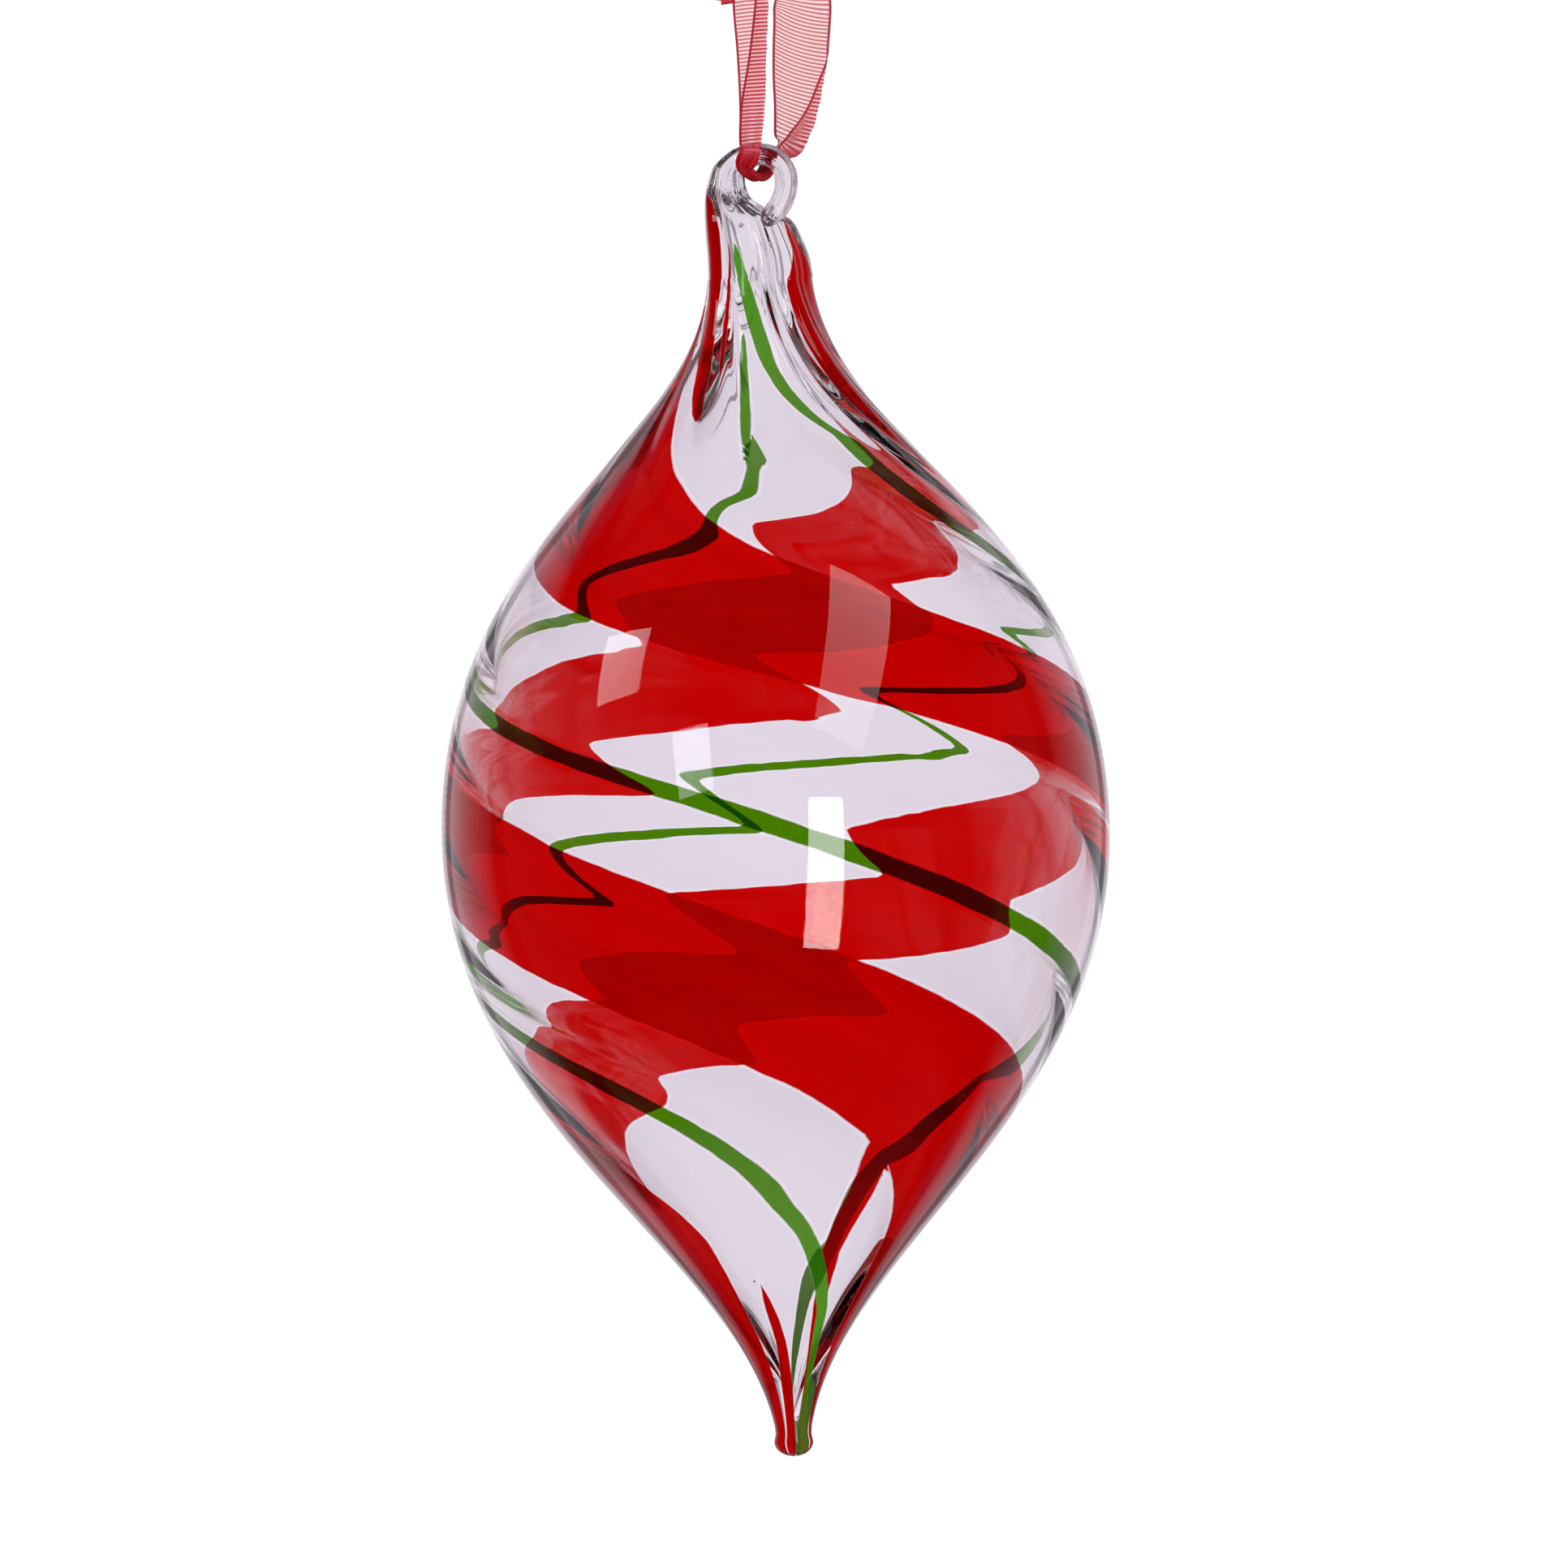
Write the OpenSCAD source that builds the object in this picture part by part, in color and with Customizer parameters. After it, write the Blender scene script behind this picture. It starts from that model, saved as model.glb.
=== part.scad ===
// Glass drop ornament: a hollow blown drop with broad red bands and narrow green
// canes that twist down its wall, a clear glass eye on its neck, and a tied ribbon.
// Millimetres. The origin is the hanging point, inside the top of the ribbon's loop,
// with +Z up and the front towards -Y.

/* [Glass drop] */
// Greatest outer diameter
drop_d = 80.4; // [70:0.2:95]
// Height from the flat seat under the eye down to the end of the tip
drop_h = 148.6; // [130:0.2:170]
// Depth of the widest ring below the seat
belly_drop = 73.5; // [66:0.5:80]
// Length of the lower curve's straight start, which sets how full the belly is
belly_fullness = 35; // [25:1:40]
// Outer diameter of the neck
neck_d = 12.6; // [11.8:0.1:16]
// Straight length of the neck
neck_h = 5.2; // [4:0.1:9]
// Length over which the neck flares before it opens
flare_ease = 22; // [14:1:28]

/* [Tip] */
// Diameter of the solid button that closes the tip
button_d = 4.7; // [4.4:0.1:6]
// Diameter of the waist just above the button
waist_d = 4.2; // [3.6:0.1:4.4]
// Height of the button
button_h = 3; // [2:0.1:4]

/* [Wall] */
// Wall in the middle of a panel, at the belly
panel_wall = 1.4; // [1.2:0.1:2]
// How much thicker the wall is along a ridge inside
ridge_rise = 0.9; // [0.4:0.1:1.4]
// How much thicker the wall is towards the neck and the tip
end_rise = 1.2; // [0.6:0.1:1.6]
// Depth of the coloured glass in the outside of the wall
inlay = 0.5; // [0.3:0.05:0.7]
// Solid glass between the seat and the hollow
neck_plug = 6; // [5:0.5:9]
// Solid glass between the hollow and the button
tip_plug = 9; // [6:0.5:16]

/* [Twist] */
// Degrees of twist for each millimetre of the neck
twist_neck = 1.5; // [0.5:0.1:2.5]
// Degrees of twist for each millimetre of the shoulder
twist_shoulder = 5.2; // [4:0.1:5.6]
// Degrees of twist for each millimetre of the belly
twist_belly = 3.9; // [3:0.1:5]
// Degrees of twist for each millimetre of the tip
twist_tip = 0.6; // [0.2:0.1:1.5]
// Turn of the whole pattern at the seat
pattern_turn = 82; // [0:1:360]

/* [Bands] */
// Angle round the drop that the first red band fills
red_a_span = 80; // [60:1:100]
// Angle from the first red band's top edge to the second's
red_b_at = 202; // [185:1:212]
// Angle round the drop that the second red band fills
red_b_span = 68; // [55:1:74]
// Angle to the middle of the first green cane
green_a_at = 151; // [125:1:165]
// Angle to the middle of the second green cane
green_b_at = 301; // [296:1:330]
// Angle round the drop that each green cane fills
green_span = 13; // [8:0.5:16]
// Share of its width that each band still has at the top of the neck
neck_share = 0.6; // [0.4:0.05:1]

/* [Eye] */
// Thickness of the glass strand at the top of the eye
eye_strand = 2.9; // [2.4:0.1:3.2]
// Thickness of the strand where it leaves the neck
eye_root = 4.2; // [3.2:0.1:4.4]
// Thickness of the strand where it lands on the neck again
eye_foot = 3.4; // [3:0.1:4]
// Radius of the strand's middle line over the top
eye_r = 3.7; // [3.6:0.1:4.4]
// Height of the eye above the seat
eye_h = 9.5; // [9.5:0.1:12]
// Turn of the eye about the neck
eye_turn = -36; // [-60:1:0]

/* [Hang] */
// Height from the hanging point down to the bearing in the top of the eye
hang_drop = 90; // [75:1:130]
// Distance of the neck's axis from the load line, which makes the glass lean
neck_off = 2.2; // [0:0.1:3]

/* [Ribbon] */
// Full width of the ribbon
ribbon_w = 7; // [6:0.1:8]
// Thickness of the single ribbon
ribbon_t = 0.5; // [0.3:0.05:0.6]
// Height of the knot's middle above the bearing
knot_lift = 27.75; // [26:0.25:36]
// Width of the knot
knot_w = 10; // [9.6:0.1:12]
// Depth of the knot from front to back
knot_d = 6; // [5:0.1:8]
// Height of the knot
knot_h = 7.5; // [6.5:0.1:9]

/* [Hidden] */

drop_r = drop_d / 2;
neck_r = neck_d / 2;
waist_r = waist_d / 2;
button_r = button_d / 2;
// Soft edge between the seat and the neck
seat_edge = 0.9;
seat_r = neck_r - seat_edge;
edge_h = 2.6;
// Straight starts of the shoulder curve at the belly and of the cone above the tip
belly_rise = 38;
cone_flare = 3.8;
cone_ease = 22;
cone_end = drop_h - button_h;
button_mid = drop_h - 0.6 * button_h;

// Depths between which the twist changes, to the shoulder's rate, the belly's and the tip's
shoulder_marks = [0.33 * belly_drop, 0.68 * belly_drop];
belly_marks = [0.82 * belly_drop, 1.03 * belly_drop];
lower_h = drop_h - belly_drop;
tip_marks = [belly_drop + 0.22 * lower_h, belly_drop + 0.75 * lower_h];

// Outline of the drop: a radius for each depth below the seat
shoulder = [[neck_r, neck_h], [neck_r, neck_h + flare_ease],
            [drop_r, belly_drop - belly_rise], [drop_r, belly_drop]];
lower = [[drop_r, belly_drop], [drop_r, belly_drop + belly_fullness],
         [waist_r + cone_flare, cone_end - cone_ease], [waist_r, cone_end]];

function bezier(p, t) =
    pow(1 - t, 3) * p[0] + 3 * t * pow(1 - t, 2) * p[1] + 3 * t * t * (1 - t) * p[2] + pow(t, 3) * p[3];
function depth_share(p, depth, lo = 0, hi = 1, step = 0) =
    let (mid = (lo + hi) / 2)
    step > 22 ? mid
    : bezier(p, mid)[1] < depth ? depth_share(p, depth, mid, hi, step + 1)
    : depth_share(p, depth, lo, mid, step + 1);
function outline_r(depth) =
    depth < edge_h ? seat_r + seat_edge * sqrt(1 - pow(1 - depth / edge_h, 2))
    : depth < neck_h ? neck_r
    : depth < belly_drop ? bezier(shoulder, depth_share(shoulder, depth))[0]
    : depth < cone_end ? bezier(lower, depth_share(lower, depth))[0]
    : depth < button_mid ? waist_r + (button_r - waist_r) * (depth - cone_end) / (button_mid - cone_end)
    : button_r * sqrt(1 - pow((depth - button_mid) / (drop_h - button_mid), 2));

// Twist that has built up at a depth: each ramp eases from one rate to the next
function eased(u) = u < 0 ? 0 : u < 1 ? pow(u, 3) - pow(u, 4) / 2 : u - 0.5;
function ramp(depth, marks) = (marks[1] - marks[0]) * eased((depth - marks[0]) / (marks[1] - marks[0]));
function twist_at(depth) =
    twist_neck * depth
    + (twist_shoulder - twist_neck) * ramp(depth, shoulder_marks)
    + (twist_belly - twist_shoulder) * ramp(depth, belly_marks)
    + (twist_tip - twist_belly) * ramp(depth, tip_marks);

// Panels round the drop, each with where it starts and how many columns it has
green_half = green_span / 2;
panel_from = [0, red_a_span, green_a_at - green_half, green_a_at + green_half,
              red_b_at, red_b_at + red_b_span, green_b_at - green_half, green_b_at + green_half, 360];
panel_cols = [5, 4, 2, 3, 5, 2, 2, 3];
RED_A = 0;
GREEN_A = 2;
RED_B = 4;
GREEN_B = 6;
panels = len(panel_cols);
function first_col(p) = p == 0 ? 0 : first_col(p - 1) + panel_cols[p - 1];
cols = first_col(panels);
function panel_of(j, p = 0) = j < first_col(p + 1) ? p : panel_of(j, p + 1);
function is_colour(p) = p == RED_A || p == GREEN_A || p == RED_B || p == GREEN_B;

// Columns narrow towards the neck round the middle of their own coloured panel
column_angle = [for (j = [0:cols - 1])
    let (p = panel_of(j), u = (j - first_col(p)) / panel_cols[p])
    panel_from[p] + u * (panel_from[p + 1] - panel_from[p])];
column_mid = [for (j = [0:cols - 1])
    let (p = panel_of(j), own = is_colour(p) ? p : (j == first_col(p) ? p - 1 : -1))
    own < 0 ? column_angle[j] : (panel_from[own] + panel_from[own + 1]) / 2];
function full_share(depth) = min(1, neck_share + (1 - neck_share) * depth / shoulder_marks[1]);
function angle_of(depth, j) = column_mid[j] + (column_angle[j] - column_mid[j]) * full_share(depth);

// Ridges run inside along the middle of each cane and along each red band's edges
ridge_at = [0, red_a_span, green_a_at, red_b_at, red_b_at + red_b_span, green_b_at, 360];
function ridge_share(a, k = 0) =
    a <= ridge_at[k + 1] ? pow(cos(180 * (a - ridge_at[k]) / (ridge_at[k + 1] - ridge_at[k])), 2)
    : ridge_share(a, k + 1);
function wall_at(depth, a) =
    let (open = outline_r(depth) / drop_r)
    panel_wall + end_rise * pow(1 - open, 2) + ridge_rise * open * ridge_share(a);

// A point of the wall on one column, a given distance inside the outline
function wall_point(depth, j, inset) =
    let (r = outline_r(depth) - inset, a = twist_at(depth) - angle_of(depth, j) - pattern_turn)
    [r * sin(a), -r * cos(a), -depth];

// Rings down the drop: the soft edge, the blown wall, then the button
edge_rings = 3;
wall_rings = 46;
button_rings = 3;
ring_depth = concat(
    [for (k = [0:edge_rings - 1]) edge_h * (1 - cos(90 * k / edge_rings))],
    [for (k = [0:wall_rings]) edge_h + (cone_end - edge_h) * k / wall_rings],
    [for (k = [1:button_rings]) cone_end + button_h * sin(90 * k / (button_rings + 1))]);
rings = len(ring_depth);
last_wall_ring = edge_rings + wall_rings;

// Coloured glass starts and ends on a ring
red_rings = [edge_rings + 1, last_wall_ring];
green_rings = [edge_rings, last_wall_ring - 4];
function colour_rings(p) = p == RED_A || p == RED_B ? red_rings : green_rings;
function in_colour(i, p) = is_colour(p) && i >= colour_rings(p)[0] && i < colour_rings(p)[1];

wall_points = concat(
    [for (i = [0:rings - 1]) for (j = [0:cols - 1]) wall_point(ring_depth[i], j, 0)],
    [for (i = [0:rings - 1]) for (j = [0:cols - 1]) wall_point(ring_depth[i], j, inlay)],
    [[0, 0, -drop_h]]);
function skin(i, j) = i * cols + j % cols;
function floor_of(i, j) = (rings + i) * cols + j % cols;
tip_point = 2 * rings * cols;

function two(a, b, c, d) = [[a, b, c], [a, c, d]];
function joined(lists) = [for (part = lists) for (item = part) item];
function turned(faces) = [for (f = faces) [f[2], f[1], f[0]]];
function skin_patch(i, j) = two(skin(i, j), skin(i + 1, j), skin(i + 1, j + 1), skin(i, j + 1));
function floor_patch(i, j) =
    two(floor_of(i, j), floor_of(i + 1, j), floor_of(i + 1, j + 1), floor_of(i, j + 1));
function colour_skin(p) =
    joined([for (i = [colour_rings(p)[0]:colour_rings(p)[1] - 1])
            for (j = [first_col(p):first_col(p + 1) - 1]) skin_patch(i, j)]);

// The groove that a coloured panel lies in: its floor, its two sides and its two ends
function groove(p) =
    let (top = colour_rings(p)[0], end = colour_rings(p)[1], ja = first_col(p), jb = first_col(p + 1))
    concat(
        joined([for (i = [top:end - 1]) for (j = [ja:jb - 1]) floor_patch(i, j)]),
        joined([for (i = [top:end - 1])
            concat(two(skin(i, ja), skin(i + 1, ja), floor_of(i + 1, ja), floor_of(i, ja)),
                   two(skin(i + 1, jb), skin(i, jb), floor_of(i, jb), floor_of(i + 1, jb)))]),
        joined([for (j = [ja:jb - 1])
            concat(two(skin(top, j + 1), skin(top, j), floor_of(top, j), floor_of(top, j + 1)),
                   two(skin(end, j), skin(end, j + 1), floor_of(end, j + 1), floor_of(end, j)))]));

// Rings of the hollow inside, which closes to a point at each end
hollow_rings = [for (i = [0:rings - 1])
    if (ring_depth[i] > neck_plug && ring_depth[i] < cone_end - tip_plug) ring_depth[i]];
hollow_count = len(hollow_rings);
hollow_close = 1.6;
hollow_points = concat(
    [for (depth = hollow_rings) for (j = [0:cols - 1])
        wall_point(depth, j, wall_at(depth, column_angle[j]))],
    [[0, 0, -hollow_rings[0] + hollow_close], [0, 0, -hollow_rings[hollow_count - 1] - hollow_close]]);
function hollow(i, j) = i * cols + j % cols;
hollow_faces = concat(
    joined([for (i = [0:hollow_count - 2]) for (j = [0:cols - 1])
        two(hollow(i, j), hollow(i + 1, j), hollow(i + 1, j + 1), hollow(i, j + 1))]),
    [for (j = [0:cols - 1]) [hollow(0, j + 1), hollow_count * cols, hollow(0, j)]],
    [for (j = [0:cols - 1]) [hollow(hollow_count - 1, j), hollow_count * cols + 1,
                             hollow(hollow_count - 1, j + 1)]]);

// The glass hangs from the bearing in the eye, with its balance point below the origin
seat_z = -hang_drop - (eye_h - eye_strand);
lean = atan(neck_off / belly_drop);
module hung() {
    translate([-neck_off, 0, seat_z]) rotate([0, -lean, 0]) children();
}
function hung_point(p) = [-neck_off + p[0] * cos(lean) - p[2] * sin(lean), p[1],
                          seat_z + p[0] * sin(lean) + p[2] * cos(lean)];

// Eye: the strand's middle line rises from the root, goes over the top and lands on the foot
eye_inset = 0.1;
root_at = seat_r - eye_root / 2 - eye_inset;
foot_at = seat_r - eye_foot / 2 - eye_inset;
eye_spring = eye_h - eye_strand / 2 - eye_r;
eye_sides = 12;
leg_steps = 3;
arch_steps = 10;
// Each row is the distance along the eye's plane, the height, the way out and the radius
function leg(side, at, thick, k) =
    let (u = k / leg_steps)
    [side * (at + (eye_r - at) * sin(90 * u)), eye_spring * u, side > 0 ? 0 : 180,
     (thick + (eye_strand - thick) * sin(90 * u)) / 2];
eye_line = concat(
    [for (k = [0:leg_steps - 1]) leg(-1, root_at, eye_root, k)],
    [for (k = [0:arch_steps])
        let (a = 180 - 180 * k / arch_steps)
        [eye_r * cos(a), eye_spring + eye_r * sin(a), a, eye_strand / 2]],
    [for (k = [leg_steps - 1:-1:0]) leg(1, foot_at, eye_foot, k)]);
eye_along = [cos(eye_turn), sin(eye_turn), 0];
eye_across = [-sin(eye_turn), cos(eye_turn), 0];
function eye_ring(row) =
    [for (k = [0:eye_sides - 1])
        let (q = 360 * k / eye_sides, out = row[0] + row[3] * cos(q) * cos(row[2]),
             up = row[1] + row[3] * cos(q) * sin(row[2]))
        out * eye_along + row[3] * sin(q) * eye_across + [0, 0, up]];

// A closed tube through rings of points, with a flat cap on each end
module tube(rows) {
    sides = len(rows[0]);
    count = len(rows);
    function at(i, k) = i * sides + k % sides;
    polyhedron(
        points = joined(rows),
        faces = concat(
            joined([for (i = [0:count - 2]) for (k = [0:sides - 1])
                two(at(i, k), at(i, k + 1), at(i + 1, k + 1), at(i + 1, k))]),
            [[for (k = [sides - 1:-1:0]) at(0, k)]],
            [[for (k = [0:sides - 1]) at(count - 1, k)]]));
}

// Ribbon: each row is a point, the share of the full width, the thicknesses and the turn
function unit(v) = v / norm(v);
function place(row) = [row[0], row[1], row[2]];
function ribbon_ring(row, dir) =
    let (flat = [cos(row[5]), sin(row[5]), 0], side = unit(flat - (flat * dir) * dir),
         face = cross(dir, side), a = row[3] * ribbon_w / 2, b = row[4] * ribbon_t / 2)
    [for (q = [[1, -0.5], [0.85, -1], [-0.85, -1], [-1, -0.5], [-1, 0.5], [-0.85, 1], [0.85, 1], [1, 0.5]])
        place(row) + q[0] * a * side + q[1] * b * face];
function ribbon_rings(route, first, last) =
    [for (i = [0:len(route) - 1])
        ribbon_ring(route[i], i == 0 ? first : i == len(route) - 1 ? last
                              : unit(place(route[i + 1]) - place(route[i - 1])))];

DOWN = [0, 0, -1];
UP = [0, 0, 1];
knot_mid = knot_lift - hang_drop;
knot_foot = knot_mid - knot_h / 2;
knot_top = knot_mid + knot_h / 2;
// Depth and height of the flat on each side, width and depth of the flat at each end
knot_side = [0.72 * knot_d, 0.4 * knot_h];
knot_end = [0.9 * knot_w, 0.64 * knot_d];
// Length over which the bundle has its full depth
knot_roll = 0.72 * knot_w;
// The gathered ribbon bends under the top of the eye with a little room
gather_w = 0.38;
gather_t = 2.8;
bend_gap = 0.4;
bend_r = eye_strand / 2 + bend_gap + gather_t * ribbon_t / 2;
bend_steps = 6;
function bend_row(k) =
    let (a = 180 * k / bend_steps, p = hung_point(-bend_r * cos(a) * eye_across
                                                  + [0, 0, eye_h - eye_strand / 2 - bend_r * sin(a)]))
    [p[0], p[1], p[2], gather_w, gather_t, eye_turn];
front_strand = [
    [-2.2, -0.6, knot_foot, 0.55, 1.8, -8],
    [-2.9, -0.9, 20 - hang_drop, 0.6, 1.8, -10],
    [-2.9, -1.3, 14 - hang_drop, 0.58, 1.8, -14],
    [-2.8, -1.8, 8.5 - hang_drop, 0.52, 2, -22],
    [-3.2, -2.2, 4.5 - hang_drop, 0.42, 2.6, -30]];
back_strand = [
    [0.8, 2.4, 4 - hang_drop, 0.5, 2.2, -20],
    [2.1, 2.4, 7.5 - hang_drop, 0.7, 1.4, -6],
    [2.8, 2, 11.5 - hang_drop, 0.9, 1.1, 4],
    [3.1, 1.6, 16 - hang_drop, 0.96, 1, 8],
    [3.1, 1.2, 20 - hang_drop, 0.96, 1, 8],
    [2.3, 0.8, knot_foot, 0.6, 1.5, 6]];
strands = concat(front_strand, [for (k = [0:bend_steps]) bend_row(k)], back_strand);

// The hanger's heights are shares of the loop above the knot
loop_h = -knot_top;
hanger = [
    [-2.2, 0.2, -loop_h, 0.56, 1.6, 32],
    [-3, 0.2, -0.93 * loop_h, 0.85, 1.1, 46],
    [-4.8, 0.1, -0.8 * loop_h, 1, 1, 60],
    [-6.9, 0, -0.64 * loop_h, 1, 1, 74],
    [-8.7, 0, -0.47 * loop_h, 1, 1, 84],
    [-9.6, 0, -0.31 * loop_h, 1, 1, 90],
    [-8.9, 0, -0.17 * loop_h, 1, 1, 90],
    [-6.6, 0, -0.07 * loop_h, 1, 1, 90],
    [-3.4, 0, -0.015 * loop_h, 1, 1, 90],
    [0, 0, ribbon_t / 2, 1, 1, 90],
    [3.4, 0, -0.015 * loop_h, 1, 1, 90],
    [6.6, 0, -0.07 * loop_h, 1, 1, 90],
    [8.9, 0, -0.17 * loop_h, 1, 1, 90],
    [9.6, 0, -0.31 * loop_h, 1, 1, 90],
    [8.7, 0, -0.47 * loop_h, 1, 1, 96],
    [6.9, 0, -0.64 * loop_h, 1, 1, 106],
    [4.8, -0.1, -0.8 * loop_h, 1, 1, 120],
    [3, -0.2, -0.93 * loop_h, 0.85, 1.1, 134],
    [2.2, -0.2, -loop_h, 0.56, 1.6, 148]];

// Tails leave the flat sides of the knot
tail_a = [
    [-knot_w / 2, -0.2, knot_mid, 0.5, 1.8, 84],
    [-6.7, -0.5, knot_mid - 0.9, 0.5, 1.8, 66],
    [-7.4, -0.9, knot_mid - 3.3, 0.5, 1.8, 44],
    [-7.3, -1.2, knot_mid - 5.8, 0.5, 1.8, 20],
    [-7, -1.3, knot_mid - 8.4, 0.5, 1.8, 8]];
tail_b = [
    [knot_w / 2, 0.2, knot_mid + 0.4, 0.5, 1.8, 96],
    [7.4, 0.6, knot_mid + 0.1, 0.62, 1.5, 100],
    [9.8, 1, knot_mid - 1.2, 0.8, 1.2, 104],
    [11.6, 1.4, knot_mid - 3.4, 0.96, 1, 110],
    [12.6, 1.7, knot_mid - 5.6, 1, 1, 114]];

module colour_inlay(p) {
    hung() polyhedron(points = wall_points, faces = concat(colour_skin(p), turned(groove(p))));
}

module glass_drop() color([0.86, 0.85, 0.9, 0.4]) hung() difference() {
    polyhedron(
        points = wall_points,
        faces = concat(
            joined([for (i = [0:rings - 2]) for (j = [0:cols - 1])
                in_colour(i, panel_of(j)) ? [] : skin_patch(i, j)]),
            groove(RED_A), groove(GREEN_A), groove(RED_B), groove(GREEN_B),
            [[for (j = [0:cols - 1]) skin(0, j)]],
            [for (j = [0:cols - 1]) [skin(rings - 1, j), tip_point, skin(rings - 1, j + 1)]]));
    polyhedron(points = hollow_points, faces = hollow_faces);
}
module red_band_a() color([0.78, 0.02, 0.03]) colour_inlay(RED_A);
module red_band_b() color([0.78, 0.02, 0.03]) colour_inlay(RED_B);
module green_cane_a() color([0.28, 0.5, 0.1]) colour_inlay(GREEN_A);
module green_cane_b() color([0.28, 0.5, 0.1]) colour_inlay(GREEN_B);
module hanging_eye() color([0.86, 0.85, 0.9, 0.4]) hung() tube([for (row = eye_line) eye_ring(row)]);
module ribbon_strands() color([0.85, 0.1, 0.12]) tube(ribbon_rings(strands, DOWN, UP));
module ribbon_hanger() color([0.85, 0.1, 0.12]) tube(ribbon_rings(hanger, UP, DOWN));
module ribbon_tails() color([0.85, 0.1, 0.12]) {
    tube(ribbon_rings(tail_a, [-1, 0, 0], DOWN));
    tube(ribbon_rings(tail_b, [1, 0, 0], unit([0.4, 0.1, -1])));
}
// Knot: a rounded bundle with flats where the strands, the hanger and the tails come out
module ribbon_knot() color([0.72, 0.03, 0.05]) translate([0, 0, knot_mid]) hull() {
    cube([knot_w, knot_side[0], knot_side[1]], center = true);
    cube([knot_end[0], knot_end[1], knot_h], center = true);
    rotate([0, 90, 0]) cylinder(h = knot_roll, d = knot_d, center = true, $fn = 24);
}

glass_drop();
red_band_a();
red_band_b();
green_cane_a();
green_cane_b();
hanging_eye();
ribbon_strands();
ribbon_knot();
ribbon_hanger();
ribbon_tails();
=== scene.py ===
# Hand-blown glass drop ornament with twisting red bands and green canes, hung by a sheer red ribbon.
# Metres, +Z up, the front towards -Y. The origin is the hanging point inside the ribbon's loop.

import functools
import math

import bmesh
import bpy
from mathutils import Matrix, Vector, noise


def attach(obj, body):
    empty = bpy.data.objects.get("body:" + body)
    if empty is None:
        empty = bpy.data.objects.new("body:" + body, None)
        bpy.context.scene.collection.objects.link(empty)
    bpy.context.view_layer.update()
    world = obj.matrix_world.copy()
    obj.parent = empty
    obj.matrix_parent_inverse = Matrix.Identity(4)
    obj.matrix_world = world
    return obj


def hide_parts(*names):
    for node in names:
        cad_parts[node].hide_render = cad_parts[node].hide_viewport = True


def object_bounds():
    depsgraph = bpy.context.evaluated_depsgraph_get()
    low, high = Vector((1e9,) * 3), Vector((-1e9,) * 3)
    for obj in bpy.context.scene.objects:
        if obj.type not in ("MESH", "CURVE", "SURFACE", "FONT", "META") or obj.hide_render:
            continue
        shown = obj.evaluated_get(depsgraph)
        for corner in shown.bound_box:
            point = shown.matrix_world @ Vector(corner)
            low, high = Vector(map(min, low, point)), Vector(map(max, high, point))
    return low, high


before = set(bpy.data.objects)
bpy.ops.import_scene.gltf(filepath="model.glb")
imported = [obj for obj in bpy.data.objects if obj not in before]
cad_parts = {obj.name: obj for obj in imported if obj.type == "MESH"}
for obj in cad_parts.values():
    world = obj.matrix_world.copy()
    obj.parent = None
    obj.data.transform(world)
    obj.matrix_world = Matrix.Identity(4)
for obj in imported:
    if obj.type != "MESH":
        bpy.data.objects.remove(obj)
cad_low, cad_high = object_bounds()
scene = bpy.context.scene

# Camera: level and far off behind a long lens, so the drop shows as flat as in the photograph.
# A pixel of the photograph is 0.0976 mm at the drop, and the eye's bearing is at (956, 205) in it.
MM = 0.001
PHOTO_W, PHOTO_H = 1931, 1932
PIXEL = 0.0976 * MM
bearing_px = (956, 205)
hang_drop = 90 * MM
camera_far = 2.6
camera = bpy.data.objects.new("camera", bpy.data.cameras.new("camera"))
scene.collection.objects.link(camera)
scene.camera = camera
camera.location = ((PHOTO_W / 2 - bearing_px[0]) * PIXEL, -camera_far,
                   -hang_drop - (PHOTO_H / 2 - bearing_px[1]) * PIXEL)
camera.rotation_euler = (math.radians(90), 0, 0)
camera.data.lens = camera.data.sensor_width * camera_far / (PHOTO_H * PIXEL)
camera.data.clip_end = 40

# Ribbon strands: 7 mm sheer organza that comes down from the knot folded lengthwise, bends
# under the top of the glass eye in a gathered bundle, and goes up again flat behind it.
ribbon_w = 7 * MM
ribbon_t = 0.12 * MM
ribbon_divisions = 28
route_steps = 5
# The drop's seat, at the foot of its neck, lies left of the line of the load, and the drop leans
# so that its belly is on that line. The eye is turned about the neck.
neck_aside = 2.2 * MM
seat_drop = 96.6 * MM
belly = 73.5 * MM
drop_lean = math.atan(neck_aside / belly)
hung = Matrix.Translation((-neck_aside, 0, -seat_drop)) @ Matrix.Rotation(-drop_lean, 4, "Y")
eye_turn = -36
eye_across = Matrix.Rotation(math.radians(eye_turn), 3, "Z") @ Vector((0, 1, 0))
eye_mid_h = 8.05 * MM
bend_r = 2.55 * MM
# Rows of the route in mm, which go on into the knot at both ends: x, y, z, turn about the route in
# degrees, seen width, width folded over, bow, depth of the pleats and skew of the weft.
front_rows = [
    (-2.5, -0.4, -64.6, -4, 2.6, 2.2, 0.1, 0.4, 0),
    (-3.1, -0.6, -66, -8, 3.3, 1.8, 0.2, 0.3, 0),
    (-3.0, -0.9, -70, -16, 4.55, 1.9, 0.3, 0.05, 0.2),
    (-2.85, -1.3, -76, -18, 3.9, 2.5, 0.3, 0.03, 0.1),
    (-2.75, -1.9, -82, -22, 3.5, 3.3, 0.2, 0.05, 0),
    (-2.9, -2.6, -86, -28, 3.2, 3.5, 0.2, 0.15, 0),
    (-3.0, -2.9, -88.5, -34, 3.0, 3.5, 0.15, 0.3, 0)]
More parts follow.
